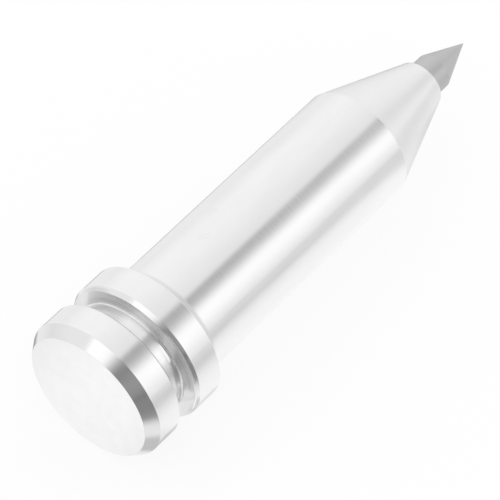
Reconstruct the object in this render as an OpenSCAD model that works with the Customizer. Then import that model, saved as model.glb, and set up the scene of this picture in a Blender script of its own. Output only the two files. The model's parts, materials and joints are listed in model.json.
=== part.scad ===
// Live centre with a straight barrel, a grooved head and a carbide point.
// The barrel is held still in a toolholder. The nose, the point and the shaft behind them turn together
// on a tandem pair of angular contact bearings at the front and one deep groove bearing at the back.
// The axis lies along X with the point towards +X. The origin is on the axis, where the barrel leaves the head.

/* [Head] */
// Diameter of the head's two bands
head_d = 31.4; // [29:0.1:36]
// Diameter of the flat rear face
rear_face_d = 28; // [22:0.1:28.8]
// Length of the long chamfer around the rear face
rear_chamfer_len = 2.5; // [0.5:0.1:5]
// Length from the rear face to the groove
rear_band_len = 8.4; // [6:0.1:14]
// Width of the groove at its floor
groove_w = 4.35; // [2:0.05:8]
// Diameter of the groove's floor
groove_d = 25; // [22:0.1:27]
// How far the groove's front wall leans forward
groove_lean = 0.45; // [0:0.05:1]
// Length of the chamfer on the groove's front lip
groove_chamfer_len = 1; // [0.2:0.1:2]
// Depth of the chamfer on the groove's front lip
groove_chamfer_depth = 0.55; // [0.1:0.05:1]
// Length from the groove's floor to the shoulder at the barrel
front_band_len = 7.45; // [4:0.05:14]
// Edge break on the head's corners
head_edge = 0.3; // [0.1:0.05:0.6]

/* [Barrel] */
// Diameter of the barrel, which is the shank that a toolholder grips
barrel_d = 25; // [24:0.1:28]
// Length of the barrel in front of the head
barrel_len = 61.5; // [52:0.5:90]
// Edge break at the barrel's front end
barrel_edge = 0.15; // [0.05:0.05:0.5]
// Chamfer at the mouths of the barrel's bores
mouth_chamfer = 0.4; // [0.1:0.1:0.8]

/* [Head joint] */
// Pitch diameter of the thread that joins the head to the barrel
joint_thread_d = 21.4; // [20.4:0.1:22.4]
// Length of that thread
joint_thread_len = 7; // [4:0.5:12]
// Depth that the barrel's end sits in the head
joint_register = 0.6; // [0.2:0.1:1.5]
// How much smaller the barrel's radius is where it sits in the head
joint_relief = 0.2; // [0.1:0.05:0.4]
// Length of the plain pilot in front of the thread
pilot_len = 5; // [4:0.5:9]
// Thickness of the sealing ring on the pilot
o_ring_section = 1.3; // [0.8:0.1:1.8]
// Width of the sealing ring's groove
o_ring_groove_w = 1.9; // [1.9:0.1:2.6]
// Diameter of the recess in the end of the pilot
pilot_recess_d = 11; // [6:0.5:13]
// Depth of the recess in the end of the pilot
pilot_recess_depth = 6; // [2:0.5:14]

/* [Nose] */
// Length from the barrel's front end to the end of the nose
nose_len = 21.4; // [17:0.1:35]
// Diameter at the end of the nose
nose_end_d = 10; // [9.4:0.1:14]
// Rounding at the end of the nose
nose_round = 1.2; // [0.1:0.1:1.5]
// Gap between the turning nose and the barrel
seam_gap = 0.05; // [0.05:0.05:0.3]

/* [Point] */
// Diameter of the carbide point
tip_d = 8; // [5:0.1:8.4]
// Length of the point's plain collar in front of the nose
tip_collar_len = 3.8; // [1:0.1:8]
// Full angle of the point in degrees
point_angle = 44; // [30:1:90]
// Diameter of the flat that blunts the very end of the point
tip_flat_d = 0.1; // [0.1:0.05:0.6]
// Depth of the socket that holds the point in the nose
socket_depth = 12; // [6:0.5:15]

/* [Shaft] */
// Diameter of the shaft where the seal runs
seal_journal_d = 11; // [10:0.1:11.3]
// Wall of the spacer sleeve between the front and rear bearings
spacer_wall = 1.25; // [0.8:0.05:1.8]
// How much smaller the tail's thread is than the bearing journal
tail_thread_drop = 0.4; // [0.3:0.1:1]
// Length of thread that shows behind the locking nut
tail_len = 1.5; // [0.5:0.1:4]
// Free room between the tail and the end of the pilot
tail_room = 2.5; // [1.5:0.1:6]
// Width of the keyway in the tail
keyway_w = 2; // [1.5:0.1:2.4]
// Depth of the keyway in the tail
keyway_depth = 1; // [0.6:0.1:1.4]

/* [Bearings] */
// Bore of all the bearings
bearing_bore = 8; // [7:0.1:8.6]
// Outside diameter of all the bearings
bearing_od = 19; // [18:0.1:19.8]
// Width of each bearing
bearing_w = 6; // [5.6:0.1:7]
// Diameter of the balls
ball_d = 3; // [2.6:0.1:3.4]
// Balls in each front bearing
front_ball_count = 10; // [6:1:10]
// Balls in the rear bearing
rear_ball_count = 8; // [5:1:9]
// Contact angle of the front bearings in degrees
contact_angle = 15; // [5:1:30]
// Depth of the raceways below the ring's shoulders
race_depth = 0.45; // [0.3:0.05:0.6]
// How much of the front shoulder each front outer ring gives up at its face
race_relief = 0.35; // [0.1:0.05:0.6]
// Corner break of the rings
ring_corner = 0.3; // [0.1:0.05:0.5]
// Width of the front bearings' cages
front_cage_w = 4.6; // [3.8:0.1:5]
// Reach of the rear bearing's crown cage in front of its balls
rear_cage_front = 1; // [0.6:0.05:1.3]
// Thickness of the rear bearing's shields
shield_t = 0.3; // [0.2:0.05:0.4]

/* [Preload] */
// Thickness of each disc spring
spring_t = 0.4; // [0.2:0.05:0.8]
// Cone height of each disc spring
spring_rise = 0.4; // [0.2:0.05:0.8]
// Radial width of each disc spring
spring_w = 2.1; // [1.4:0.1:2.4]

/* [Locking] */
// Diameter of the locking nut
nut_d = 14; // [12:0.1:16]
// Width of the locking nut
nut_w = 5; // [3.5:0.1:8]
// Slots in the locking nut
nut_slot_count = 4; // [2:1:6]
// Width of each slot
nut_slot_w = 3; // [2:0.1:3.4]
// Depth of each slot
nut_slot_depth = 1.2; // [0.8:0.1:1.6]
// Thickness of the tab washer
washer_t = 1; // [0.5:0.1:1.5]
// Flat teeth around the tab washer
washer_tooth_count = 9; // [5:1:12]
// Width of the notches between the washer's teeth
washer_notch_w = 1.8; // [1:0.1:2]
// Width of the tooth that is bent into the nut's slot
bent_tooth_w = 1.8; // [1:0.1:1.9]
// Length of the tooth that is bent into the nut's slot
bent_tooth_len = 3; // [1.5:0.1:3.4]

/* [Seal] */
// Width of the shaft seal
seal_w = 3; // [2.4:0.1:5]
// How far the seal sits inside the barrel's mouth
seal_setback = 0.3; // [0.1:0.1:1]
// Room between the seal and the front bearing
seal_room = 0.5; // [0.3:0.1:1.5]
// Sheet thickness of the seal's case
seal_case_t = 0.5; // [0.3:0.05:0.7]
// Thickness of the rubber behind the lip
seal_web_t = 0.7; // [0.4:0.05:1]

/* [Clearances] */
// Gap on each side of fits that don't turn
fit_gap = 0.01; // [0.005:0.005:0.02]
// Gap between a ball and its raceway at the contact
race_gap = 0.012; // [0.01:0.002:0.03]
// Gap between a cage and what it runs in
cage_gap = 0.3; // [0.2:0.05:0.4]
// Gap around a ball in its cage
pocket_gap = 0.1; // [0.05:0.01:0.15]
// Gap between the rear bearing's cage and its rear shield
cage_shield_gap = 0.35; // [0.3:0.05:0.5]
// Gap between the seal's lip and the shaft
lip_gap = 0.03; // [0.02:0.01:0.08]
// Gap between the flange of the seal's case and the shaft
seal_flange_gap = 1; // [0.8:0.1:1.5]
// Thickness of the braze around the carbide point
braze_gap = 0.05; // [0.02:0.01:0.1]
// Gap between the shields and the inner ring
shield_gap = 0.2; // [0.1:0.05:0.3]
// Gap between the locking pieces and their slots
slot_gap = 0.1; // [0.05:0.05:0.2]
// Gap at the rim of the disc springs
spring_gap = 0.2; // [0.1:0.05:0.4]
// Gap around the spacer sleeve in the barrel's web
web_gap = 1.25; // [0.5:0.05:1.8]

/* [Hidden] */
smooth = 128;
// Overshoot of cutting shapes, so that no cut ends flush with a face
over = 1;
// A raceway is a little rounder than its ball
race_conformity = 1.04;

// Radii
head_r = head_d / 2;
rear_face_r = rear_face_d / 2;
groove_r = groove_d / 2;
barrel_r = barrel_d / 2;
joint_thread_r = joint_thread_d / 2;
nose_end_r = nose_end_d / 2;
tip_r = tip_d / 2;
seal_journal_r = seal_journal_d / 2;
ball_r = ball_d / 2;
nut_r = nut_d / 2;
bore_r = bearing_bore / 2;
bearing_r = bearing_od / 2;
seat_r = bearing_r + fit_gap;
journal_r = bore_r - fit_gap;
tail_r = journal_r - tail_thread_drop / 2;
socket_r = tip_r + braze_gap;
pitch_r = (bore_r + bearing_r) / 2;
race_r = ball_r * race_conformity;
inner_land_r = pitch_r - ball_r + race_depth;
outer_land_r = pitch_r + ball_r - race_depth;
cage_inner_r = inner_land_r + cage_gap;
cage_outer_r = outer_land_r - cage_gap;
pocket_r = ball_r + pocket_gap;
shield_seat_r = outer_land_r + race_depth;
shield_face = bearing_w / 2 - ring_corner;
shield_step = shield_face - shield_t;
rear_cage_back = shield_step - cage_shield_gap;
spacer_r = bore_r + spacer_wall;
web_r = spacer_r + web_gap;
o_ring_r = o_ring_section / 2;

// Places along the axis, from the rear to the point
head_len = rear_band_len + groove_w + front_band_len;
rear_x = -head_len;
groove_back_x = rear_x + rear_band_len;
groove_front_x = groove_back_x + groove_w;
lip_x = groove_front_x + groove_lean;
pilot_x = joint_thread_len + mouth_chamfer;
pilot_end_x = joint_thread_len + pilot_len;
o_ring_x = (pilot_x + pilot_end_x) / 2;
tail_end_x = pilot_end_x + tail_room;
nut_x = tail_end_x + tail_len;
washer_x = nut_x + nut_w;
rear_bearing_x = washer_x + washer_t + bearing_w / 2;
spring_x = rear_bearing_x + bearing_w / 2;
spring_free = spring_t + spring_rise;
web_back_x = spring_x + 2 * spring_free + 2 * fit_gap;
front_x = barrel_len;
seal_front_x = front_x - seal_setback;
seal_back_x = seal_front_x - seal_w;
front_bearing_x = seal_back_x - seal_room - bearing_w / 2;
second_bearing_x = front_bearing_x - bearing_w;
web_front_x = second_bearing_x - bearing_w / 2;
nose_x = front_x + seam_gap;
nose_end_x = front_x + nose_len;
socket_x = nose_end_x - socket_depth;
tip_shoulder_x = nose_end_x + tip_collar_len;
tip_end_x = tip_shoulder_x + (tip_r - tip_flat_d / 2) / tan(point_angle / 2);

// The nose is a cone from the barrel's own diameter to its end
nose_half_angle = atan((barrel_r - nose_end_r) / nose_len);
function nose_r(x) = barrel_r - (x - front_x) * tan(nose_half_angle);
// The rounding at the nose's end stays within the rim around the socket
rim_per_fillet = 1 / cos(nose_half_angle) - tan(nose_half_angle);
nose_fillet = min(nose_round, 0.9 * (nose_end_r - socket_r) / rim_per_fillet);
fillet_x = nose_end_x - nose_fillet;
fillet_r = nose_r(fillet_x) - nose_fillet / cos(nose_half_angle);

// Raceway centres move apart along the axis to set the contact angle
race_shift = (race_r - ball_r) * sin(contact_angle);
race_drop = (race_r - ball_r) * cos(contact_angle);

// Outline in the plane of the axis: each point is [place along X, radius]
module outline(points) {
    polygon([for (p = points) [p[1], p[0]]]);
}

// Turns a flat outline about X
module lathe() {
    rotate([0, 90, 0])
        rotate_extrude($fn = smooth)
            children();
}

// Turned solid from an outline
module turned(points) {
    lathe()
        outline(points);
}

// Ring of round section about X
module round_ring(at_x, ring_r, section_r) {
    lathe()
        translate([ring_r, at_x])
            circle(r = section_r, $fn = smooth);
}

// Tube along X with all four edges broken
module tube(from_x, to_x, inner_r, outer_r, edge) {
    turned([
        [from_x + edge, inner_r],
        [to_x - edge, inner_r],
        [to_x, inner_r + edge],
        [to_x, outer_r - edge],
        [to_x - edge, outer_r],
        [from_x + edge, outer_r],
        [from_x, outer_r - edge],
        [from_x, inner_r + edge]
    ]);
}

// Copies of a shape at equal angles around X
module around(count) {
    for (i = [0 : count - 1])
        rotate([360 * i / count, 0, 0])
            children();
}

// Inner ring of a bearing, its raceway set off by shift along X and drop outward
module inner_ring(at_x, shift, drop) {
    difference() {
        tube(at_x - bearing_w / 2, at_x + bearing_w / 2, bore_r, inner_land_r, ring_corner);
        round_ring(at_x - shift, pitch_r + drop, race_r + race_gap);
    }
}

// Outer ring of an angular contact bearing, with a low shoulder on the point's side
module contact_outer_ring(at_x) {
    back_x = at_x - bearing_w / 2;
    face_x = at_x + bearing_w / 2;
    difference() {
        turned([
            [back_x + ring_corner, outer_land_r],
            [at_x, outer_land_r],
            [face_x, outer_land_r + race_relief],
            [face_x, bearing_r - ring_corner],
            [face_x - ring_corner, bearing_r],
            [back_x + ring_corner, bearing_r],
            [back_x, bearing_r - ring_corner],
            [back_x, outer_land_r + ring_corner]
        ]);
        round_ring(at_x + race_shift, pitch_r - race_drop, race_r + race_gap);
    }
}

// Set of balls at a bearing's place
module balls(at_x, count) {
    around(count)
        translate([at_x, 0, pitch_r])
            sphere(d = ball_d, $fn = smooth);
}

// Cage ring with one radial pocket for each ball
module cage(at_x, back, front, count) {
    difference() {
        tube(at_x - back, at_x + front, cage_inner_r, cage_outer_r, ring_corner / 2);
        around(count)
            translate([at_x, 0, cage_inner_r - over])
                cylinder(r = pocket_r, h = cage_outer_r - cage_inner_r + 2 * over, $fn = smooth);
    }
}

// Shield disc in the rear bearing, on the side given by its sign
module shield(side) {
    turned([
        [rear_bearing_x + side * shield_step, inner_land_r + shield_gap],
        [rear_bearing_x + side * shield_face, inner_land_r + shield_gap],
        [rear_bearing_x + side * shield_face, shield_seat_r - fit_gap],
        [rear_bearing_x + side * shield_step, shield_seat_r - fit_gap]
    ]);
}

// Disc spring whose rim rests at rim_x and whose inner edge leans towards the given side
module disc_spring(rim_x, side) {
    rim_r = seat_r - spring_gap;
    eye_r = rim_r - spring_w;
    turned([
        [rim_x, rim_r],
        [rim_x + side * spring_t, rim_r],
        [rim_x + side * spring_free, eye_r],
        [rim_x + side * spring_rise, eye_r]
    ]);
}

module barrel() {
    color("gainsboro")
        turned([
            [-joint_register, joint_thread_r + fit_gap + mouth_chamfer],
            [mouth_chamfer - joint_register, joint_thread_r + fit_gap],
            [pilot_x - mouth_chamfer, joint_thread_r + fit_gap],
            [pilot_x + joint_thread_r - seat_r, seat_r],
            [web_back_x, seat_r],
            [web_back_x, web_r],
            [web_front_x, web_r],
            [web_front_x, seat_r],
            [front_x - mouth_chamfer, seat_r],
            [front_x, seat_r + mouth_chamfer],
            [front_x, barrel_r - barrel_edge],
            [front_x - barrel_edge, barrel_r],
            [0, barrel_r],
            [0, barrel_r - joint_relief],
            [-joint_register, barrel_r - joint_relief]
        ]);
}

module grooved_head() {
    pilot_r = seat_r - fit_gap;
    o_ring_floor_r = seat_r - o_ring_section - 2 * fit_gap;
    o_ring_back_x = o_ring_x - o_ring_groove_w / 2;
    o_ring_front_x = o_ring_x + o_ring_groove_w / 2;
    recess_r = pilot_recess_d / 2;
    recess_x = pilot_end_x - pilot_recess_depth;
    color("gainsboro")
        turned([
            [rear_x, 0],
            [rear_x, rear_face_r],
            [rear_x + rear_chamfer_len, head_r],
            [groove_back_x - head_edge, head_r],
            [groove_back_x, head_r - head_edge],
            [groove_back_x, groove_r],
            [groove_front_x, groove_r],
            [lip_x, head_r - groove_chamfer_depth],
            [lip_x + groove_chamfer_len, head_r],
            [-head_edge, head_r],
            [0, head_r - head_edge],
            [0, barrel_r + fit_gap],
            [-joint_register, barrel_r + fit_gap],
            [-joint_register, joint_thread_r],
            [joint_thread_len - mouth_chamfer, joint_thread_r],
            [joint_thread_len, joint_thread_r - mouth_chamfer],
            [joint_thread_len, pilot_r],
            [o_ring_back_x, pilot_r],
            [o_ring_back_x, o_ring_floor_r],
            [o_ring_front_x, o_ring_floor_r],
            [o_ring_front_x, pilot_r],
            [pilot_end_x - mouth_chamfer, pilot_r],
            [pilot_end_x, pilot_r - mouth_chamfer],
            [pilot_end_x, recess_r],
            [recess_x, recess_r],
            [recess_x, 0]
        ]);
}

module head_o_ring() {
    color("#202020")
        round_ring(o_ring_x, seat_r - fit_gap - o_ring_r, o_ring_r);
}

module spindle() {
    thread_end_x = rear_bearing_x - bearing_w / 2 + ring_corner;
    shoulder_x = front_bearing_x + bearing_w / 2;
    color("lightgray")
        difference() {
            lathe() {
                outline([
                    [tail_end_x, 0],
                    [tail_end_x, tail_r - ring_corner],
                    [tail_end_x + ring_corner, tail_r],
                    [thread_end_x, tail_r],
                    [thread_end_x + tail_thread_drop / 2, journal_r],
                    [shoulder_x, journal_r],
                    [shoulder_x, seal_journal_r],
                    [nose_x, seal_journal_r],
                    [nose_x, nose_r(nose_x)],
                    [fillet_x + nose_fillet * sin(nose_half_angle), fillet_r + nose_fillet * cos(nose_half_angle)],
                    [fillet_x, fillet_r],
                    [nose_end_x, fillet_r],
                    [nose_end_x, 0]
                ]);
                translate([fillet_r, fillet_x])
                    circle(r = nose_fillet, $fn = smooth);
            }
            translate([tail_end_x - over, -keyway_w / 2, tail_r - keyway_depth])
                cube([thread_end_x - tail_end_x + over, keyway_w, keyway_depth + over]);
            translate([socket_x, 0, 0])
                rotate([0, 90, 0])
                    cylinder(r = socket_r, h = socket_depth + over, $fn = smooth);
        }
}

module carbide_point() {
    color("dimgray")
        turned([
            [socket_x + fit_gap, 0],
            [socket_x + fit_gap, tip_r - ring_corner],
            [socket_x + fit_gap + ring_corner, tip_r],
            [tip_shoulder_x, tip_r],
            [tip_end_x, tip_flat_d / 2],
            [tip_end_x, 0]
        ]);
}

module front_outer_ring() {
    color("silver")
        contact_outer_ring(front_bearing_x);
}

module front_inner_ring() {
    color("silver")
        inner_ring(front_bearing_x, race_shift, race_drop);
}

module front_balls() {
    color("whitesmoke")
        balls(front_bearing_x, front_ball_count);
}

module front_cage() {
    color("sienna")
        cage(front_bearing_x, front_cage_w / 2, front_cage_w / 2, front_ball_count);
}

module second_outer_ring() {
    color("silver")
        contact_outer_ring(second_bearing_x);
}

module second_inner_ring() {
    color("silver")
        inner_ring(second_bearing_x, race_shift, race_drop);
}

module second_balls() {
    color("whitesmoke")
        balls(second_bearing_x, front_ball_count);
}

module second_cage() {
    color("sienna")
        cage(second_bearing_x, front_cage_w / 2, front_cage_w / 2, front_ball_count);
}

module rear_outer_ring() {
    half_w = bearing_w / 2;
    color("silver")
        difference() {
            tube(rear_bearing_x - half_w, rear_bearing_x + half_w, outer_land_r, bearing_r, ring_corner);
            round_ring(rear_bearing_x, pitch_r - race_r + ball_r, race_r + race_gap);
            for (side = [-1, 1])
                turned([
                    [rear_bearing_x + side * shield_step, 0],
                    [rear_bearing_x + side * (half_w + over), 0],
                    [rear_bearing_x + side * (half_w + over), shield_seat_r],
                    [rear_bearing_x + side * shield_step, shield_seat_r]
                ]);
        }
}

module rear_inner_ring() {
    color("silver")
        inner_ring(rear_bearing_x, 0, race_r - ball_r);
}

module rear_balls() {
    color("whitesmoke")
        balls(rear_bearing_x, rear_ball_count);
}

module rear_cage() {
    color("ivory")
        cage(rear_bearing_x, rear_cage_back, rear_cage_front, rear_ball_count);
}

module rear_shield_front() {
    color("lightsteelblue")
        shield(1);
}

module rear_shield_back() {
    color("lightsteelblue")
        shield(-1);
}

module spacer_sleeve() {
    color("darkgray")
        tube(spring_x, web_front_x, bore_r, spacer_r, ring_corner);
}

module preload_spring_front() {
    color("slategray")
        disc_spring(web_back_x - fit_gap / 2, -1);
}

module preload_spring_back() {
    color("slategray")
        disc_spring(spring_x + fit_gap / 2, 1);
}

module tab_washer() {
    disc_r = nut_r - slot_gap;
    slot_floor_r = nut_r - nut_slot_depth;
    eye_r = tail_r + fit_gap;
    tab_w = keyway_w - 2 * slot_gap;
    tab_r = tail_r - keyway_depth + slot_gap;
    bent_t = nut_slot_depth - 2 * slot_gap;
    color("lightgray") {
        difference() {
            turned([
                [washer_x, 0],
                [washer_x + washer_t, 0],
                [washer_x + washer_t, disc_r],
                [washer_x, disc_r]
            ]);
            turned([
                [washer_x - over, 0],
                [washer_x + washer_t + over, 0],
                [washer_x + washer_t + over, eye_r],
                [washer_x - over, eye_r]
            ]);
            around(washer_tooth_count)
                rotate([180 / washer_tooth_count, 0, 0])
                    translate([washer_x - over, -washer_notch_w / 2, slot_floor_r])
                        cube([washer_t + 2 * over, washer_notch_w, nut_r]);
        }
        translate([washer_x, -tab_w / 2, tab_r])
            cube([washer_t, tab_w, eye_r - tab_r + washer_t / 2]);
        translate([washer_x - bent_tooth_len, -bent_tooth_w / 2, slot_floor_r + slot_gap])
            cube([bent_tooth_len + washer_t / 2, bent_tooth_w, bent_t - slot_gap]);
    }
}

module lock_nut() {
    color("dimgray")
        difference() {
            tube(nut_x, washer_x, tail_r + fit_gap, nut_r, ring_corner);
            around(nut_slot_count)
                translate([nut_x - over, -nut_slot_w / 2, nut_r - nut_slot_depth])
                    cube([nut_w + 2 * over, nut_slot_w, nut_r]);
        }
}

module seal_case() {
    case_r = seat_r - fit_gap;
    color("silver")
        turned([
            [seal_back_x, case_r - ring_corner],
            [seal_back_x + ring_corner, case_r],
            [seal_front_x, case_r],
            [seal_front_x, case_r - seal_case_t],
            [seal_back_x + seal_case_t, case_r - seal_case_t],
            [seal_back_x + seal_case_t, seal_journal_r + seal_flange_gap],
            [seal_back_x, seal_journal_r + seal_flange_gap]
        ]);
}

module seal_lip() {
    case_r = seat_r - fit_gap;
    web_back = seal_back_x + seal_case_t;
    web_front = web_back + seal_web_t;
    lip_r = seal_journal_r + lip_gap;
    neck_r = lip_r + seal_web_t;
    lip_front_x = seal_front_x - seal_setback;
    color("#202020")
        turned([
            [web_back, case_r - seal_case_t],
            [web_front, case_r - seal_case_t],
            [web_front, neck_r + seal_web_t],
            [lip_front_x, neck_r],
            [lip_front_x, lip_r + lip_gap],
            [lip_front_x - seal_web_t / 2, lip_r],
            [web_front, neck_r],
            [web_back, neck_r]
        ]);
}

barrel();
grooved_head();
head_o_ring();
spindle();
carbide_point();
front_outer_ring();
front_inner_ring();
front_balls();
front_cage();
second_outer_ring();
second_inner_ring();
second_balls();
second_cage();
rear_outer_ring();
rear_inner_ring();
rear_balls();
rear_cage();
rear_shield_front();
rear_shield_back();
spacer_sleeve();
preload_spring_front();
preload_spring_back();
tab_washer();
lock_nut();
seal_case();
seal_lip();
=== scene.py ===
# %% [markdown]
# # A live centre under studio light
# A live centre holds the free end of a bar in a lathe. Its head and barrel are clamped and stay still,
# and the nose with its carbide point turns on ball bearings inside the barrel. This lesson takes the
# measured solids as a fixed frame and gives them their looks: four turned pieces are modelled again
# with the small rounded edges that catch the light, and every piece gets a finish made of shader nodes.

# %% Load the measured solids
import json
import math

import bmesh
import bpy
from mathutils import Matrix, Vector


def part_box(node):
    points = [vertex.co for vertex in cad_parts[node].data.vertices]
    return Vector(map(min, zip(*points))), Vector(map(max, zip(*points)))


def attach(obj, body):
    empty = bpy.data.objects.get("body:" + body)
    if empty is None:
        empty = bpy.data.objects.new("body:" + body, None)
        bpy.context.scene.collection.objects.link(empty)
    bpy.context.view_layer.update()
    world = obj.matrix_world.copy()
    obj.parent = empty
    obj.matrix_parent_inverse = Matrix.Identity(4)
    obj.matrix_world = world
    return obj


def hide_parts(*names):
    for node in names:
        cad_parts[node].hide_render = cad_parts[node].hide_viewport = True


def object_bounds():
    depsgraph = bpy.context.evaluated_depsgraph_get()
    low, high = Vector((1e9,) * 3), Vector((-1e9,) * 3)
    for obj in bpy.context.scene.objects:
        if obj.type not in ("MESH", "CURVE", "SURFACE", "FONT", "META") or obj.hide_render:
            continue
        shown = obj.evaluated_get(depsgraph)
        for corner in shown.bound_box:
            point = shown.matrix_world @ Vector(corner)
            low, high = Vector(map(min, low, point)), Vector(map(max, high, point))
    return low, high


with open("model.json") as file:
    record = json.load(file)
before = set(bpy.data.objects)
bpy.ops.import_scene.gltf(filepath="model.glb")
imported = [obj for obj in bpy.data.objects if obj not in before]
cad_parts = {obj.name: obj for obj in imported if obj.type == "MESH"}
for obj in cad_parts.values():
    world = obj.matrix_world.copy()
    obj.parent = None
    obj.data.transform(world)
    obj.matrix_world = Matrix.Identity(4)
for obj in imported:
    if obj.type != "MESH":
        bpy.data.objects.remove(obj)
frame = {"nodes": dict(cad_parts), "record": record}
cad_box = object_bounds()
mm = 0.001
print("CAD box in mm:", [tuple(round(value / mm, 2) for value in corner) for corner in cad_box])

# %% [markdown]
# ## Where the camera stands
# The picture looks down on the part from behind the head, from about half a metre up, through a long
# lens that keeps the barrel's sides nearly parallel. A camera that is aimed at a point by an azimuth,
# an elevation and a distance is easy to read and has no roll, because Blender's track quaternion keeps
# its top upward.

# %% Camera
view_azimuth = math.radians(-50.80)
view_elevation = math.radians(50.404)
view_distance = 0.7440
view_aim = Vector((0.02698, -0.00085, -0.00003))
lens_mm = 276.1
sensor_mm = 36
toward_camera = Vector((
    math.sin(view_azimuth) * math.cos(view_elevation),
    -math.cos(view_azimuth) * math.cos(view_elevation),
    math.sin(view_elevation),
))
bpy.ops.object.select_all(action="DESELECT")
bpy.ops.object.camera_add(location=view_aim + view_distance * toward_camera)
camera = bpy.context.object
camera.name = "photo_camera"
camera.rotation_euler = (-toward_camera).to_track_quat("-Z", "Y").to_euler()
camera.data.lens = lens_mm
camera.data.sensor_width = sensor_mm
bpy.context.scene.camera = camera
print("camera at", tuple(round(value, 4) for value in camera.location))

# %% [markdown]
# ## Shader maths as plain sums
# A finish is mostly arithmetic on where a point lies: how far along the axis, how far from it. Wiring
# Math nodes by hand hides that arithmetic. One small class wraps a socket so that + - * / and ** each
# add their node. The reflected forms are there too, so that a number may stand first, as in 1 - mask.

# %% Sockets
class Socket:
    """A shader output that can stand in a Python sum. Each operator adds one Math node."""

    def __init__(self, tree, output):
        self.tree = tree
        self.output = output

    def maths(self, operation, first, second):
        return self.tree.node("ShaderNodeMath", {"operation": operation}, {0: first, 1: second})

    def __add__(self, other):
        return self.maths("ADD", self, other)

    def __radd__(self, other):
        return self.maths("ADD", other, self)

    def __sub__(self, other):
        return self.maths("SUBTRACT", self, other)

    def __rsub__(self, other):
        return self.maths("SUBTRACT", other, self)

    def __mul__(self, other):
        return self.maths("MULTIPLY", self, other)

    def __rmul__(self, other):
        return self.maths("MULTIPLY", other, self)

    def __truediv__(self, other):
        return self.maths("DIVIDE", self, other)

    def __rtruediv__(self, other):
        return self.maths("DIVIDE", other, self)

    def __pow__(self, power):
        return self.maths("POWER", self, power)


print("sockets take + - * / and **")

# %% [markdown]
# ## Node trees
# A tree holds the nodes of one material, or of the world. One method adds any node from its type, its
# settings and its sockets, and a socket gets a number or a link. The other methods are steps that
# several finishes share: a soft step, a patch with soft ends, the place of a point, a cloud of noise
# and a bump. They could be node groups, but a Python method is shorter to read and leaves plain nodes
# behind.

# %% Node trees
main_axes = (Vector((1, 0, 0)), Vector((0, 1, 0)), Vector((0, 0, 1)))


class Tree:
    """The node tree of a material or of the world."""

    def __init__(self, owner):
        owner.use_nodes = True
        self.nodes = owner.node_tree.nodes
        self.links = owner.node_tree.links
        self.nodes.clear()

    def node(self, kind, settings=None, sockets=None, output=0):
        """Adds one node: its settings first, then the values or links of its sockets."""
        made = self.nodes.new(kind)
        for key, value in (settings or {}).items():
            setattr(made, key, value)
        for key, value in (sockets or {}).items():
            if isinstance(value, Socket):
                self.links.new(value.output, made.inputs[key])
            else:
                made.inputs[key].default_value = value
        return Socket(self, made.outputs[output]) if made.outputs else made

    def smooth(self, value, start, end):
        """0 before start, 1 after end, with a soft step between them. The start may be the larger number."""
        ends = {"Value": value, "From Min": start, "From Max": end, "To Min": 0.0, "To Max": 1.0}
        return self.node("ShaderNodeMapRange", {"interpolation_type": "SMOOTHSTEP"}, ends)

    def plateau(self, value, start, full, still_full, end):
        """1 from full to still_full, with soft steps down to 0 at start and at end."""
        return self.smooth(value, start, full) * self.smooth(value, end, still_full)

    def dot(self, vector, axis):
        return self.node("ShaderNodeVectorMath", {"operation": "DOT_PRODUCT"}, {0: vector, 1: axis}, "Value")

    def parts(self, vector, scale=1.0):
        """The three parts of a vector, each times a scale."""
        return [self.dot(vector, scale * axis) for axis in main_axes]

    def place(self):
        """Where a point lies on its piece, in mm: along the axis, sideways and upward."""
        return self.parts(self.node("ShaderNodeTexCoord", output="Object"), 1 / mm)

    def cloud(self, x, y, z, detail=2.0):
        """A soft random value about 0.5, with grains about one unit across."""
        spot = self.node("ShaderNodeCombineXYZ", None, {0: x, 1: y, 2: z})
        return self.node("ShaderNodeTexNoise", None, {"Vector": spot, "Scale": 1.0, "Detail": detail})

    def bump(self, height, depth):
        """A normal that leans with a height of 0 to 1 whose full depth is given in mm."""
        return self.node("ShaderNodeBump", None, {"Height": height, "Distance": depth * mm})

    def colour(self, red, green, blue):
        return self.node("ShaderNodeCombineColor", None, {0: red, 1: green, 2: blue})

    def surface(self, colour, roughness, metallic=1.0, normal=None):
        """Ends the tree with one shader."""
        sockets = {"Base Color": colour, "Roughness": roughness, "Metallic": metallic}
        if normal is not None:
            sockets["Normal"] = normal
        shader = self.node("ShaderNodeBsdfPrincipled", None, sockets)
        self.node("ShaderNodeOutputMaterial", None, {"Surface": shader})


print("node trees ready, with", len(main_axes), "axes")

# %% [markdown]
# ## The studio
# Polished steel has hardly any look of its own: it shows the room. The room here is a white tent, as in
# any product studio. It has a dark opening where the camera stands, a smaller dark place low beside it,
# where a stand would be, and a narrow gap between the overhead panel and the front one, which draws the
# long dark line on the barrel. These could be cards and lamps round the part, but a pattern on the
# world's direction has softer edges and throws no noise.

# %% Dark places of the tent
tent = bpy.data.worlds.new("studio_tent")
bpy.context.scene.world = tent
tent.cycles.sampling_method = "NONE"
sky = Tree(tent)
toward = sky.node("ShaderNodeTexCoord", output="Generated")
ahead, sideways, upward = sky.parts(toward)


def dark_round(axis, rim_degrees, core_degrees, depth):
    """A round dark place on the tent, full within the core's angle from its axis and gone at the rim."""
    rim = math.cos(math.radians(rim_degrees))
    core = math.cos(math.radians(core_degrees))
    return depth * sky.smooth(sky.dot(toward, Vector(axis).normalized()), rim, core)


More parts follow.
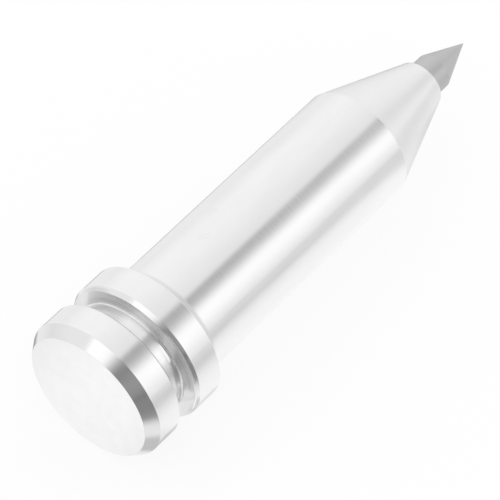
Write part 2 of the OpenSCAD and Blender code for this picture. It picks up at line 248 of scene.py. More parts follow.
opening = dark_round((-0.62, -0.66, 0.42), rim_degrees=43.5, core_degrees=16.5, depth=0.76)
stand = dark_round((-0.40, -0.915, 0.03), rim_degrees=16, core_degrees=6, depth=0.5)
gap_side = Vector((0, -0.895, -0.445))
beside = sky.dot(toward, gap_side)
gap_depth = 0.15 + 0.47 * sky.smooth(ahead, 0.66, 0.36)
gap = gap_depth * sky.plateau(beside, -0.19, -0.03, 0.0, 0.42)
dark = sky.node("ShaderNodeMath", {"operation": "MAXIMUM"}, {0: opening, 1: gap})
print("nodes for the dark places:", len(sky.nodes))

# %% [markdown]
# ## The tent's light
# The cloth itself isn't even. It is a little brighter towards the point, the front panel is brighter
# than the one overhead, a panel lights the head, and the light falls off at the horizon. Only mirror
# rays see this pattern. The camera and the floor see plain white, so the ground stays pale and the
# light on it stays even.

# %% World
tent_base = 0.90 + 0.11 * sky.smooth(ahead, -0.3, 0.5) + 0.08 * sky.smooth(ahead, 0.6, 0.9)
overhead_fall = 1 - 0.12 * sky.smooth(beside, -0.9, -0.2)
front_panel = 1 + 0.27 * sky.smooth(beside, 0.1, 0.45)
head_panel = 1 + 0.38 * sky.smooth(sideways, 0.5, 0.34) * sky.smooth(ahead, -0.1, -0.4)
horizon = sky.smooth(upward, 0.45, -0.05) * (0.07 + 0.14 * sky.smooth(sideways, -0.3, -0.8))
cloth = tent_base * overhead_fall * front_panel * head_panel
tent_level = cloth * (1 - horizon) * (1 - dark) * (1 - stand)

glossy = sky.node("ShaderNodeLightPath", output="Is Glossy Ray")
seen = glossy * tent_level + (1 - glossy)
background = sky.node("ShaderNodeBackground", None, {"Color": seen, "Strength": 1.0})
sky.node("ShaderNodeOutputWorld", None, {"Surface": background})
print("tent nodes:", len(sky.nodes))

# %% [markdown]
# ## The floor
# The part lies on a plain pale floor. One plane does for it, since it is far larger than the picture
# and its edges never show. It touches the lowest point of the solids, so the part neither sinks in nor
# floats.

# %% Floor
floor_size = 6.0
floor_z = cad_box[0].z
bpy.ops.object.select_all(action="DESELECT")
bpy.ops.mesh.primitive_plane_add(size=floor_size, location=(0, 0, floor_z))
floor = bpy.context.object
floor.name = "studio_floor"
bpy.ops.object.transform_apply(location=True, rotation=True, scale=True)

paper = bpy.data.materials.new("pale_floor")
paper.cycles.emission_sampling = "NONE"
floor.data.materials.append(paper)
table = Tree(paper)
print("floor at z =", round(floor_z / mm, 2), "mm")

# %% [markdown]
# ## The floor in the mirror
# To mirror rays the floor is a lit table: bright beside the part, darker towards the front, and darkest
# below the camera's opening, which gives every turned surface a shaded lower flank. Steel also shows
# thin dark lines along its edges. Each is the image of one soft shadow on the table, which lies where
# the rays from that edge land. A shadow has a depth, a range along the part and a range across it, in
# mm: it is full between the two middle numbers of a range and gone at the outer two.

# %% Floor in the mirror
spot_x, spot_y, _ = table.place()
floor_near = 1.08
front_lift = 0.07 * table.smooth(spot_x, 58, 90) * table.smooth(spot_y, -60, -95)
front_fall = 0.36 * table.smooth(spot_y, -12, -92) - front_lift
camera_near = 0.13 * table.smooth(spot_y, 0, -15) * table.smooth(spot_x, -6.5, -10)
camera_far = 0.5 * table.smooth(spot_y, -33, -54) * table.smooth(spot_x, 0, -12)
camera_side = camera_near + camera_far
back_corner = 0.1 * table.smooth(spot_x, 20, -20) * table.smooth(spot_y, 30, 200)
back_fall = 0.15 * table.smooth(spot_y, 8, 36) + back_corner
far_end = 0.15 * table.smooth(spot_x, 72, 95) * table.plateau(spot_y, -70, -40, 45, 70)
mirror_level = floor_near * (1 - front_fall) * (1 - camera_side) * (1 - back_fall) * (1 - far_end)

floor_end = floor_size / mm
soft_shadows = {
    "front_band_foot": (0.20, (-4, 0, 4, 10), (-17.2, -14.2, -5, 2)),
    "chamfer_rim": (0.35, (-27, -24, -15, -12), (-26, -20, -14, -11)),
    "behind_the_part": (0.50, (-20, -8, floor_end, 2 * floor_end), (4, 12, 27, 34)),
    "rear_band_foot": (0.31, (-15, -12.5, -5.5, -4), (-17.2, -14.2, -11.6, -10.4)),
    "rear_band_left": (0.50, (-15, -12.5, -9, -6), (24, 29, 36, 41)),
    "front_band_left": (0.34, (-7, -3, 18, 23), (27, 31, 37, 42)),
    "barrel_left": (0.14, (20, 28, 80, 95), (18, 24, 34, 40)),
    "nose_foot": (0.17, (69, 73, 91, 96), (-18, -11, 2, 6)),
}
for depth, along, across in soft_shadows.values():
    shadow = depth * table.plateau(spot_x, *along) * table.plateau(spot_y, *across)
    mirror_level = mirror_level * (1 - shadow)
print("soft shadows for", ", ".join(soft_shadows))

# %% [markdown]
# ## Paper for two kinds of ray
# To the camera the floor is white paper with the part's own soft shadow. Real light alone would draw
# that shadow much darker than the picture has it, so most of the white is a glow, and the rest is real
# diffuse light that takes the shadow. The mirror's view has a larger share of real light, so the shadow
# shows there.

# %% Floor shader
shadow_share = 0.16
mirror_shadow_share = 0.3


def grey(level):
    return (level, level, level, 1.0)


def lit_paper(glow_level, lit_level):
    """Paper that glows and also takes real light, and with it the part's shadow."""
    glow = table.node("ShaderNodeEmission", None, {"Color": glow_level, "Strength": 1.0})
    lit = table.node("ShaderNodeBsdfDiffuse", None, {"Color": lit_level})
    return table.node("ShaderNodeAddShader", None, {0: glow, 1: lit})


white_paper = lit_paper(grey(1 - shadow_share), grey(shadow_share))
mirror_paper = lit_paper(mirror_level * (1 - mirror_shadow_share), mirror_level * mirror_shadow_share)
mirror_ray = table.node("ShaderNodeLightPath", output="Is Glossy Ray")
both = table.node("ShaderNodeMixShader", None, {0: mirror_ray, 1: white_paper, 2: mirror_paper})
table.node("ShaderNodeOutputMaterial", None, {"Surface": both})
print("floor nodes:", len(table.nodes))

# %% [markdown]
# ## Finding a ring of edges
# The pieces that show are all turned, so their edges are rings about the X axis. A ring is known by two
# numbers, its place along X and its radius. Picking edges by their index would break as soon as a step
# is added, so the helper picks them by place.

# %% Rings
same_place = 0.002


def rings_at(piece, places):
    """Selects the edge rings that lie at the given places, each a distance along X and a radius in mm."""
    bpy.ops.mesh.select_mode(type="EDGE")
    bpy.ops.mesh.select_all(action="DESELECT")
    mesh = bmesh.from_edit_mesh(piece.data)
    for edge in mesh.edges:
        spots = [(v.co.x / mm, math.hypot(v.co.y, v.co.z) / mm) for v in edge.verts]
        for x, radius in places:
            if all(abs(s[0] - x) < same_place and abs(s[1] - radius) < same_place for s in spots):
                edge.select_set(True)
    bmesh.update_edit_mesh(piece.data)


print("rings are found to", same_place, "mm")

# %% [markdown]
# ## A lathe
# One helper does what a lathe does. A circle stands across the axis at the outline's first step. Its
# rim is extruded to each further step: moved along X, then scaled to the new radius. Spinning a drawn
# outline would do as well, but extruding keeps every ring an even circle with no seam. A hollow piece
# closes on its own first ring, and a solid one gets a face at both ends. Rings that have an edge break
# are then bevelled.

# %% Lathe
turn_sides = 256
bevel_segments = 6


def turned(name, outline, hollow=False):
    """Turns an outline of (x, radius, edge break) steps in mm. A hollow piece ends where it began."""
    first_x, first_r, _ = outline[0]
    bpy.ops.object.select_all(action="DESELECT")
    bpy.ops.mesh.primitive_circle_add(
        vertices=turn_sides, radius=first_r * mm, fill_type="NOTHING",
        location=(first_x * mm, 0, 0), rotation=(0, math.pi / 2, 0),
    )
    piece = bpy.context.object
    piece.name = name
    piece.data.name = name
    bpy.ops.object.transform_apply(location=True, rotation=True, scale=True)
    bpy.ops.object.mode_set(mode="EDIT")
    bpy.ops.mesh.select_all(action="SELECT")
    path = outline + outline[:1] if hollow else outline
    for (x0, r0, _), (x1, r1, _) in zip(path, path[1:]):
        bpy.ops.mesh.extrude_region_move(TRANSFORM_OT_translate={"value": ((x1 - x0) * mm, 0, 0)})
        if r1 != r0:
            bpy.ops.transform.resize(value=(1, r1 / r0, r1 / r0), center_override=(x1 * mm, 0, 0))
    if hollow:
        bpy.ops.mesh.select_all(action="SELECT")
        bpy.ops.mesh.remove_doubles(threshold=same_place * mm)
    else:
        bpy.ops.mesh.edge_face_add()
        rings_at(piece, [outline[0][:2]])
        bpy.ops.mesh.edge_face_add()
    for edge_break in sorted({step[2] for step in outline if step[2]}):
        rings_at(piece, [step[:2] for step in outline if step[2] == edge_break])
        bpy.ops.mesh.bevel(offset=edge_break * mm, segments=bevel_segments, affect="EDGES")
    bpy.ops.mesh.select_all(action="SELECT")
    bpy.ops.mesh.normals_make_consistent(inside=False)
    bpy.ops.object.mode_set(mode="OBJECT")
    return piece


print("lathe ready with", turn_sides, "sides")

# %% [markdown]
# ## Shading, and places from the solids
# A turned face is smooth round the axis and sharp at its corners. Shading by angle gives both, and
# weighted normals keep the wide faces true beside their small bevels, so the mirror images don't bend
# there. The sizes that must fit the other pieces are read from the measured solids, and not written a
# second time.

# %% Shading and places
smooth_angle = math.radians(32)


def finish_shading(piece):
    """Smooth shading that stays flat on wide faces and sharp at plain corners."""
    bpy.ops.object.select_all(action="DESELECT")
    piece.select_set(True)
    bpy.context.view_layer.objects.active = piece
    bpy.ops.object.shade_smooth_by_angle(angle=smooth_angle)
    bpy.ops.object.modifier_add(type="WEIGHTED_NORMAL")
    piece.modifiers[-1].keep_sharp = True
    bpy.ops.object.modifier_apply(modifier=piece.modifiers[-1].name)
    print(piece.name, "has", len(piece.data.polygons), "faces")


def span(node):
    """Lowest x, highest x and largest radius of a CAD node, in mm."""
    low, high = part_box(node)
    return round(low.x / mm, 2), round(high.x / mm, 2), round(high.y / mm, 2)


head_rear_x, head_front_x, head_r = span("grooved_head")
barrel_rear_x, barrel_front_x, barrel_r = span("barrel")
o_ring_rear_x, o_ring_front_x, o_ring_r = span("head_o_ring")
print("head radius", head_r, "mm, barrel radius", barrel_r, "mm")

# %% [markdown]
# ## Sizes of the grooved head
# The head is one turned piece: a flat faced end inside a long chamfer, two bands with a retaining
# groove between them, and a threaded spigot with a sealing ring that goes into the barrel. The outside
# carries the small breaks that a turner puts on every edge, and the groove's corners keep the nose
# radius of the tool. The spigot takes its places from the ring and the barrel that it fits.

# %% Head sizes
fit_gap = 0.01
rear_face_r = 14.0
rear_chamfer_len = 2.5
rear_band_len = 8.4
groove_w = 4.35
groove_r = 12.5
groove_lean = 0.45
lip_depth = 0.55
lip_len = 1.0
head_edge = 0.3
front_round = 0.25
soft_edge = 0.06
crisp_edge = 0.09
tool_radius = 0.22
thread_r = 10.7
thread_len = 7.0
mouth_chamfer = 0.4
o_ring_side_gap = 0.3
recess_r = 5.5
recess_depth = 6.0
groove_back_x = head_rear_x + rear_band_len
groove_front_x = groove_back_x + groove_w
lip_x = groove_front_x + groove_lean
pilot_r = o_ring_r
o_ring_floor_r = o_ring_r - (o_ring_front_x - o_ring_rear_x) - fit_gap
print("groove from x =", round(groove_back_x, 2), "to", round(lip_x, 2), "mm")

# %% [markdown]
# ## Turning the head
# The outline runs from the faced end over the bands and the groove to the spigot and into its recess.
# It could be drawn as two pieces, bands and spigot, but on the real part they are one bar, and so they
# are here.

# %% Grooved head
head_outline = [
    (head_rear_x, rear_face_r, crisp_edge),
    (head_rear_x + rear_chamfer_len, head_r, crisp_edge),
    (groove_back_x - head_edge, head_r, soft_edge),
    (groove_back_x, head_r - head_edge, soft_edge),
    (groove_back_x, groove_r, tool_radius),
    (groove_front_x, groove_r, tool_radius),
    (lip_x, head_r - lip_depth, soft_edge),
    (lip_x + lip_len, head_r, soft_edge),
    (0, head_r, front_round),
    (0, barrel_r + fit_gap, 0),
    (barrel_rear_x, barrel_r + fit_gap, 0),
    (barrel_rear_x, thread_r, 0),
    (thread_len - mouth_chamfer, thread_r, 0),
    (thread_len, thread_r - mouth_chamfer, 0),
    (thread_len, pilot_r, 0),
    (o_ring_rear_x - o_ring_side_gap, pilot_r, 0),
    (o_ring_rear_x - o_ring_side_gap, o_ring_floor_r, 0),
    (o_ring_front_x + o_ring_side_gap, o_ring_floor_r, 0),
    (o_ring_front_x + o_ring_side_gap, pilot_r, 0),
    (head_front_x - mouth_chamfer, pilot_r, 0),
    (head_front_x, pilot_r - mouth_chamfer, 0),
    (head_front_x, recess_r, 0),
    (head_front_x - recess_depth, recess_r, 0),
]
turned_head = turned("turned_head", head_outline)
finish_shading(turned_head)
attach(turned_head, "housing")
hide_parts("grooved_head")

# %% [markdown]
# ## The barrel
# The barrel is a tube. Its outside is the ground shank that a toolholder grips. Its bore holds the
# bearings and the seal, with a web in the middle that parts the front pair from the rear one. The
# bore's sizes come from the bearings themselves, so the tube always fits round them.

# %% Barrel
bearing_r = span("front_outer_ring")[2]
seat_r = bearing_r + fit_gap
web_rear_x = span("preload_spring_front")[1] + fit_gap
web_front_x = span("second_outer_ring")[0]
web_r = 6.5
joint_relief = 0.2
thread_bore_r = thread_r + fit_gap
step_x = thread_len + thread_bore_r - seat_r
barrel_edge = 0.03
barrel_outline = [
    (barrel_rear_x, thread_bore_r + mouth_chamfer, 0),
    (barrel_rear_x + mouth_chamfer, thread_bore_r, 0),
    (thread_len, thread_bore_r, 0),
    (step_x, seat_r, 0),
    (web_rear_x, seat_r, 0),
    (web_rear_x, web_r, 0),
    (web_front_x, web_r, 0),
    (web_front_x, seat_r, 0),
    (barrel_front_x - mouth_chamfer, seat_r, 0),
    (barrel_front_x, seat_r + mouth_chamfer, 0),
    (barrel_front_x, barrel_r, barrel_edge),
    (0, barrel_r, 0),
    (0, barrel_r - joint_relief, 0),
    (barrel_rear_x, barrel_r - joint_relief, 0),
]
turned_barrel = turned("turned_barrel", barrel_outline, hollow=True)
finish_shading(turned_barrel)
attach(turned_barrel, "housing")
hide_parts("barrel")

# %% [markdown]
# ## The spindle and its nose
# The spindle is the piece that turns. In front it is the satin cone that shows, with a rounded rim
# round the socket of the point. Behind the seam it steps down to the seal's journal and to the long
# journal that carries the bearings, and it ends in a threaded tail. The solids leave a running gap at
# the seam. It is drawn finer here, because on the real part only the edge of the cone shows and no dark
# line.

# %% Spindle
tail_x, nose_end_x, nose_r = span("spindle")
point_rear_x, point_tip_x, point_r = span("carbide_point")
seam_gap = 0.005
bearing_bore_r = 4.0
journal_r = bearing_bore_r - fit_gap
tail_step = 0.2
tail_r = journal_r - tail_step
ring_corner = 0.3
tail_thread_end_x = span("rear_inner_ring")[0] + ring_corner
shoulder_x = span("front_inner_ring")[1]
seal_journal_r = 5.5
nose_end_r = 5.0
nose_round = 0.85
nose_edge = 0.02
braze_gap = 0.05
socket_r = point_r + braze_gap
spindle_outline = [
    (tail_x, tail_r - ring_corner, 0),
    (tail_x + ring_corner, tail_r, 0),
    (tail_thread_end_x, tail_r, 0),
    (tail_thread_end_x + tail_step, journal_r, 0),
    (shoulder_x, journal_r, 0),
    (shoulder_x, seal_journal_r, 0),
    (barrel_front_x + seam_gap, seal_journal_r, 0),
    (barrel_front_x + seam_gap, nose_r, nose_edge),
    (nose_end_x, nose_end_r, nose_round),
    (nose_end_x, socket_r, 0),
    (point_rear_x - fit_gap, socket_r, 0),
]
turned_spindle = turned("turned_spindle", spindle_outline)
print("cone from x =", barrel_front_x, "to", nose_end_x, "mm")

# %% [markdown]
# ## The keyway
# The tab washer is keyed to the spindle's tail, so that it can hold the nut. Its keyway is the one
# feature a lathe can't cut. On the real part a slotting cutter runs along the tail. Here a box cuts it
# with a Boolean modifier that is applied at once.

# %% Keyway
keyway_w = 2.0
keyway_depth = 1.0
keyway_len = tail_thread_end_x - tail_x
overshoot = 1.0
bpy.ops.object.select_all(action="DESELECT")
bpy.ops.mesh.primitive_cube_add(
    size=mm,
    location=(tail_x * mm, 0, (tail_r - keyway_depth + overshoot) * mm),
    scale=(2 * keyway_len, keyway_w, 2 * overshoot),
)
keyway = bpy.context.object
bpy.context.view_layer.objects.active = turned_spindle
bpy.ops.object.modifier_add(type="BOOLEAN")
turned_spindle.modifiers[-1].object = keyway
turned_spindle.modifiers[-1].operation = "DIFFERENCE"
bpy.ops.object.modifier_apply(modifier=turned_spindle.modifiers[-1].name)
bpy.data.objects.remove(keyway)
finish_shading(turned_spindle)
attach(turned_spindle, "spindle")
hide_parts("spindle")

# %% [markdown]
# ## The carbide point
# A rod of tungsten carbide is brazed into the nose and ground to a point in place. Its collar stands
# out of the nose as a short plain cylinder, and the cone runs to a tip that is blunted to a tenth of a
# millimetre, since a truly sharp carbide tip would chip.

# %% Carbide point
collar_len = 3.8
collar_edge = 0.08
tip_r = 0.05
tip_edge = 0.015
point_outline = [
    (point_rear_x, point_r - ring_corner, 0),
    (point_rear_x + ring_corner, point_r, 0),
    (nose_end_x + collar_len, point_r, collar_edge),
    (point_tip_x, tip_r, tip_edge),
]
ground_point = turned("ground_point", point_outline)
finish_shading(ground_point)
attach(ground_point, "spindle")
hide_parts("carbide_point")

# %% [markdown]
# ## A shelf of finishes
# The record that came with the solids names a material slot for every node. Each finish is kept under
# the name of its slot, so that one loop can dress all the pieces at the end.

# %% Start a finish
finishes = {}


def start_finish(slot):
    finishes[slot] = bpy.data.materials.new(slot + "_finish")
    return Tree(finishes[slot])


# %% [markdown]
# ## Polished barrel steel
# The shank is ground to size and then polished, so it mirrors the tent. Four things keep it from
# looking like a drawing: broad clouds from the polishing mop, fine lines round the barrel that the
# grinding wheel left, a narrow duller band beside the head, whose darker colour is painted shade
# where the barrel meets the head's shoulder, and two small rubbed patches where the part has been
# handled. The lines lean the normal a little, which roughens the edge of the dark strip. The patches
# are thin strokes that show only near two points on the upper side.

# %% Barrel finish
steel_grey = 0.88
shade_band_start = 2.8
shade_band_full = 2.1
rub_points = ((22.3, 4.7), (16.2, 1.6))
wheel_depth = 0.010
tree = start_finish("barrel_steel")
x, y, z = tree.place()
mop = tree.cloud(0.10 * x, 0.35 * y, 0.35 * z)
wheel = tree.cloud(2.4 * x, 0.12 * y, 0.12 * z)
strokes = tree.smooth(tree.cloud(3.2 * x + 5.2 * y, 0.5 * x, 0.6 * z), 0.50, 0.60)
rubbed = 0.0
for rub_x, rub_y in rub_points:
    away_x = x - rub_x
    away_y = y - rub_y
    rubbed = rubbed + tree.smooth(away_x * away_x + away_y * away_y, 2.5, 0.5)
marks = rubbed * strokes * tree.smooth(z, 0.0, 2.0)
# The band by the head is rougher, and its darker colour is painted shade where the barrel meets the head.
duller_shaded_band = tree.smooth(x, shade_band_start, shade_band_full)
barrel_grey = steel_grey * (0.965 + 0.07 * mop) - 0.05 * marks - 0.09 * duller_shaded_band
barrel_roughness = 0.13 + 0.08 * mop + 0.1 * marks + 0.26 * duller_shaded_band
tree.surface(barrel_grey, barrel_roughness, normal=tree.bump(wheel, wheel_depth))
print("barrel finish nodes:", len(tree.nodes))

# %% [markdown]
# ## Zones of the head
# The head is the same steel in three states: polished bands and chamfers, a faced end, and a groove
# that is as the tool left it. They could be three materials on three sets of faces, but then each
# border would be a hard line. Here each zone is a mask on where a point lies, so one material covers
# the whole piece.

# %% Head zones
tree = start_finish("head_steel")
x, y, z = tree.place()
radius = (y * y + z * z) ** 0.5
on_face = tree.smooth(x, head_rear_x + 0.10, head_rear_x + 0.02)
past_back = tree.smooth(x, groove_back_x - 0.03, groove_back_x + 0.03)
before_lip = tree.smooth(x, lip_x + 0.04, lip_x - 0.04)
in_groove = past_back * before_lip * tree.smooth(radius, head_r - 0.40, head_r - 0.55)
on_wall = tree.smooth(radius, groove_r + 0.15, groove_r + 0.45)
near_wall = tree.smooth(x, groove_front_x - 0.34, groove_front_x - 0.16)
near_floor = tree.smooth(radius, groove_r + 0.26, groove_r + 0.12)
corner = near_wall * near_floor
groove_floor = in_groove * (1 - on_wall) * (1 - corner)
past_lip = 1 - before_lip
up_lip = (x - lip_x) / lip_len
on_lip = past_lip * tree.smooth(up_lip, 1.05, 0.95)
print("nodes for the head's zones:", len(tree.nodes))

# %% [markdown]
# ## Wear, painted light and painted shade in the groove
# The groove holds the part in its holder, so it is the one place that is worn. Most of it is still dull
# from the cut, with a burnished line in the corner where the tool's nose ran. Low down and at the left
# end it is polished and lighter, which is painted light. On the right the lip and the wall are rubbed by
# the retaining fork, and the foot of the wall has a shallow worn rise. The floor is darker in patches by
# both walls and on both sides, and the lip is darker near its root: painted shade in the groove. Each of
# these is a mask too: a soft range sideways (y), upward (z) or along the part (x).

# %% Groove wear, painted light and painted shade
# Painted light: the groove's foot and left end are made polished and lighter where they catch the light.
polished_lit_foot = tree.smooth(z, 2.0, -0.6)
polished_lit_left = 0.8 * tree.smooth(y, 6.0, 10.2)
as_cut = in_groove * (1 - corner) * (1 - polished_lit_foot) * (1 - polished_lit_left)
cut_wall = as_cut * on_wall
cut_floor = as_cut * (1 - on_wall) * tree.smooth(y, -1.0, 3.0)
dull = cut_wall + cut_floor

rubbed_wall = tree.plateau(y, -11.2, -10.2, -8.4, -7.2)
lip_root = past_lip * tree.smooth(up_lip, 0.42, 0.22)
rubbed_lip = lip_root * tree.smooth(y, -7.5, -9.5) * tree.smooth(z, 2.0, 4.0)
left_wall = in_groove * on_wall * tree.plateau(y, 4.5, 8.0, 10.0, 12.0)
rise_side = tree.plateau(y, -10.6, -9.6, -7.6, -6.0)
worn_rise = groove_floor * rise_side * tree.smooth(x, groove_front_x - 1.0, groove_front_x - 0.1)

by_wall = tree.smooth(x, groove_front_x - 1.4, groove_front_x - 0.7)
# Painted shade: these darken the groove's floor by its walls and on both sides, and the lip near its root.
shade_near_side = 0.18 * tree.smooth(y, -9.4, -10.6) * tree.smooth(z, -2.0, -0.5)
shade_by_rear_wall = 0.12 * tree.smooth(x, groove_back_x + 2.2, groove_back_x + 1.0)
shade_far_side = 0.10 * tree.smooth(y, -1.5, 1.5)
shade_by_front_wall = 0.30 * by_wall * tree.smooth(y, -9.0, -11.0) * tree.plateau(z, -3.0, -2.0, 0.6, 2.2)
floor_shade = (1 - by_wall) * (shade_near_side + shade_by_rear_wall + shade_far_side) + shade_by_front_wall
lip_shade_left = 0.09 * tree.smooth(up_lip, 0.8, 0.5) * tree.plateau(y, 4.5, 7.5, 11.5, 13.0)
lip_shade_low = 0.28 * tree.smooth(up_lip, 0.28, 0.45) * tree.smooth(z, 0.0, -2.5) * tree.smooth(y, -8.0, -12.0)
groove_shade = groove_floor * floor_shade + on_lip * (lip_shade_left + lip_shade_low)
print("nodes with the groove's wear:", len(tree.nodes))

# %% [markdown]
# ## Turned head steel
# The zones now get their steel. The polished parts have the mop's clouds and fine lines round the
# bands. The faced end has faint rings round its centre, which show as a mottle. The cut parts are
# darker and rougher, and scored along the cut. All the lines go into one bump, so that no step shows
# where two zones meet.

# %% Head finish
line_depth = 0.008
rise_height = 0.12
mop = tree.cloud(0.30 * x, 0.30 * y, 0.30 * z)
band_lines = tree.cloud(3.0 * x, 0.15 * y, 0.15 * z)
facing_rings = tree.cloud(2.2 * radius, 0.06 * y, 0.06 * z)
scores = tree.smooth(tree.cloud(1.7 * (x + radius), 0.03 * y, 0.03 * z, 1.0), 0.34, 0.66)
polished_grey = steel_grey * (0.97 + 0.06 * mop) + 0.02 * on_face * (facing_rings + mop - 1.0)
cut_grey = 0.72 + 0.11 * scores + 0.05 * tree.smooth(y, 0.0, -8.0) + 0.15 * rubbed_wall
# The groove's painted shade is taken off the colour here.
head_grey = polished_grey * (1 - dull) + cut_grey * dull - groove_shade
polish_roughness = 0.12 + 0.06 * mop + 0.10 * on_face
wall_roughness = 0.17 + 0.13 * tree.smooth(y, -2.0, -8.0)
wear_roughness = wall_roughness * cut_wall + 0.1 * cut_floor + 0.35 * rubbed_lip + 0.2 * left_wall
lines = band_lines * (1 - on_face) * (1 - dull) + facing_rings * on_face + 0.2 * scores * dull
relief = tree.bump(lines + rise_height / line_depth * worn_rise, line_depth)
tree.surface(head_grey, polish_roughness + wear_roughness, normal=relief)
print("head finish nodes:", len(tree.nodes))

# %% [markdown]
# ## Satin nose steel
# The cone is ground after assembly while the spindle turns in its own bearings, so its lines run round
# it and it stays satin. A higher roughness blurs the tent into soft streaks. Behind the seam the same
# steel carries the bearings, where the finer grind is smoother.

# %% Nose finish
tree = start_finish("nose_steel")
x, y, z = tree.place()
on_cone = tree.smooth(x, barrel_front_x, barrel_front_x + seam_gap)
patches = tree.cloud(0.25 * x, 0.30 * y, 0.30 * z)
grind = tree.cloud(3.2 * x, 0.10 * y, 0.10 * z, 3.0)
nose_grey = steel_grey * (0.96 + 0.05 * patches + 0.03 * grind)
nose_roughness = 0.18 + 0.10 * on_cone + 0.05 * patches
tree.surface(nose_grey, nose_roughness, normal=tree.bump(grind, 0.004))
print("nose finish nodes:", len(tree.nodes))

# %% [markdown]
# ## Carbide
# Cemented carbide is a dark grey metal-bound ceramic. A diamond wheel grinds it, which leaves an even
# satin with fine lines round the cone, and the grains of the carbide show as a slight mottle.

# %% Carbide finish
tree = start_finish("carbide")
x, y, z = tree.place()
grain = tree.cloud(1.5 * x, 1.5 * y, 1.5 * z, 4.0)
wheel = tree.cloud(5.0 * x, 0.20 * y, 0.20 * z)
carbide_grey = 0.58 * (0.94 + 0.08 * grain + 0.04 * wheel)
tree.surface(carbide_grey, 0.42 + 0.08 * grain, normal=tree.bump(wheel, 0.003))
print("carbide finish nodes:", len(tree.nodes))

# %% [markdown]
# ## Steels inside
# None of the inner pieces shows from outside, but a cutaway does show them. The sleeve is ground like
# the barrel. Bearing rings are ground on their faces and lapped in their tracks, so the mask that finds
# a track is a range of radius between the two shoulders. Balls are lapped to a mirror.

# %% Ground, bearing and ball steels
tree = start_finish("ground_steel")
x, y, z = tree.place()
wheel = tree.cloud(3.0 * x, 0.15 * y, 0.15 * z, 3.0)
tree.surface(0.62 * (0.94 + 0.12 * wheel), 0.24 + 0.08 * wheel, normal=tree.bump(wheel, 0.003))

track_range = (5.2, 5.6, 7.9, 8.3)
tree = start_finish("bearing_steel")
x, y, z = tree.place()
radius = (y * y + z * z) ** 0.5
grind = tree.cloud(2.0 * (x + radius), 0.20 * y, 0.20 * z, 3.0)
in_track = tree.plateau(radius, *track_range)
tree.surface(0.64 + 0.05 * grind + 0.04 * in_track, 0.26 - 0.18 * in_track + 0.05 * grind)

tree = start_finish("ball_steel")
x, y, z = tree.place()
sheen = tree.cloud(0.8 * x, 0.8 * y, 0.8 * z)
tree.surface(0.78 + 0.03 * sheen, 0.03 + 0.04 * sheen)
print("finishes so far:", len(finishes))

# %% [markdown]
# ## Spring, washer, nut and pressed steel
# Disc springs are tempered blue, and the film runs from straw to blue with its thickness. The tab
# washer is stamped and tumbled, so it is covered in small dents. The lock nut is black oxide, which is
# a little browner where it is thin. The seal's case and the bearing shields are pressed from
# zinc-plated sheet, whose grains are flat cells of slightly different grey.

# %% Spring, washer, nut and sheet steels
tree = start_finish("spring_steel")
x, y, z = tree.place()
film = tree.smooth(tree.cloud(0.35 * x, 0.35 * y, 0.35 * z), 0.35, 0.65)
tempered = tree.colour(0.38 - 0.10 * film, 0.34 - 0.02 * film, 0.28 + 0.14 * film)
tree.surface(tempered, 0.28 + 0.08 * film)

tree = start_finish("washer_steel")
x, y, z = tree.place()
dents = tree.cloud(1.4 * x, 1.4 * y, 1.4 * z, 4.0)
tree.surface(0.58 + 0.06 * dents, 0.32 + 0.12 * dents, normal=tree.bump(dents, 0.02))

tree = start_finish("oxide_steel")
x, y, z = tree.place()
thin = tree.cloud(0.6 * x, 0.6 * y, 0.6 * z, 3.0)
oxide = tree.colour(0.065 + 0.04 * thin, 0.065 + 0.03 * thin, 0.07 + 0.02 * thin)
tree.surface(oxide, 0.36 + 0.14 * thin)

tree = start_finish("case_steel")
x, y, z = tree.place()
spot = tree.node("ShaderNodeCombineXYZ", None, {0: 0.7 * x, 1: 0.7 * y, 2: 0.7 * z})
cells = tree.node("ShaderNodeTexVoronoi", None, {"Vector": spot, "Scale": 1.0}, "Color")
spangle = tree.dot(cells, Vector((0.33, 0.33, 0.33)))
zinc = tree.colour(0.58 + 0.08 * spangle, 0.59 + 0.08 * spangle, 0.61 + 0.08 * spangle)
tree.surface(zinc, 0.26 + 0.1 * spangle)
print("finishes so far:", len(finishes))

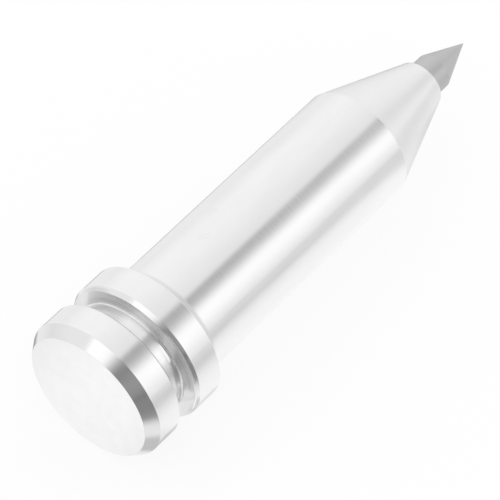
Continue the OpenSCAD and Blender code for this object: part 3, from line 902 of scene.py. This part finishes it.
# %% [markdown]
# ## Plastics and rubber
# The front cages are turned from fabric laminate, a brown phenolic resin round layers of cotton, so a
# fine weave shows on them. The rear cage is moulded nylon, ivory and even. The seal's lip and the
# O-ring are moulded rubber with a dry bloom.

# %% Plastics and rubber
weave_rate = 14.0
tree = start_finish("phenolic")
x, y, z = tree.place()
weft = tree.node("ShaderNodeMath", {"operation": "SINE"}, {0: weave_rate * (x + y)})
warp = tree.node("ShaderNodeMath", {"operation": "SINE"}, {0: weave_rate * (x + z)})
weave = 0.5 + 0.5 * weft * warp
resin = tree.cloud(0.7 * x, 0.7 * y, 0.7 * z)
shade = 0.75 + 0.3 * resin + 0.18 * weave
tree.surface(tree.colour(0.36 * shade, 0.20 * shade, 0.10 * shade), 0.48 + 0.12 * weave, metallic=0.0)

tree = start_finish("nylon")
x, y, z = tree.place()
flow = tree.cloud(0.3 * x, 0.3 * y, 0.3 * z)
shade = 0.95 + 0.1 * flow
tree.surface(tree.colour(0.80 * shade, 0.77 * shade, 0.68 * shade), 0.42 + 0.1 * flow, metallic=0.0)

tree = start_finish("rubber")
x, y, z = tree.place()
bloom = tree.cloud(1.1 * x, 1.1 * y, 1.1 * z, 4.0)
tree.surface(0.022 + 0.016 * bloom, 0.55 + 0.2 * bloom, metallic=0.0)
print("finishes made:", len(finishes))

# %% [markdown]
# ## Giving every piece its finish
# One loop takes each node's slot from the record and its finish from the shelf. The four new pieces
# take the finish of the node that they stand for.

# %% Assign finishes
pieces = {
    "grooved_head": turned_head,
    "barrel": turned_barrel,
    "spindle": turned_spindle,
    "carbide_point": ground_point,
}
for subpart in frame["record"]["subparts"]:
    finish = finishes[subpart["material_slot"]]
    dressed = [frame["nodes"][subpart["node"]]]
    if subpart["node"] in pieces:
        dressed.append(pieces[subpart["node"]])
    for each in dressed:
        each.data.materials.clear()
        each.data.materials.append(finish)

# %% [markdown]
# ## The view transform
# The scene keeps Blender's Standard view transform.

# %% View transform
bpy.context.scene.view_settings.view_transform = "Standard"
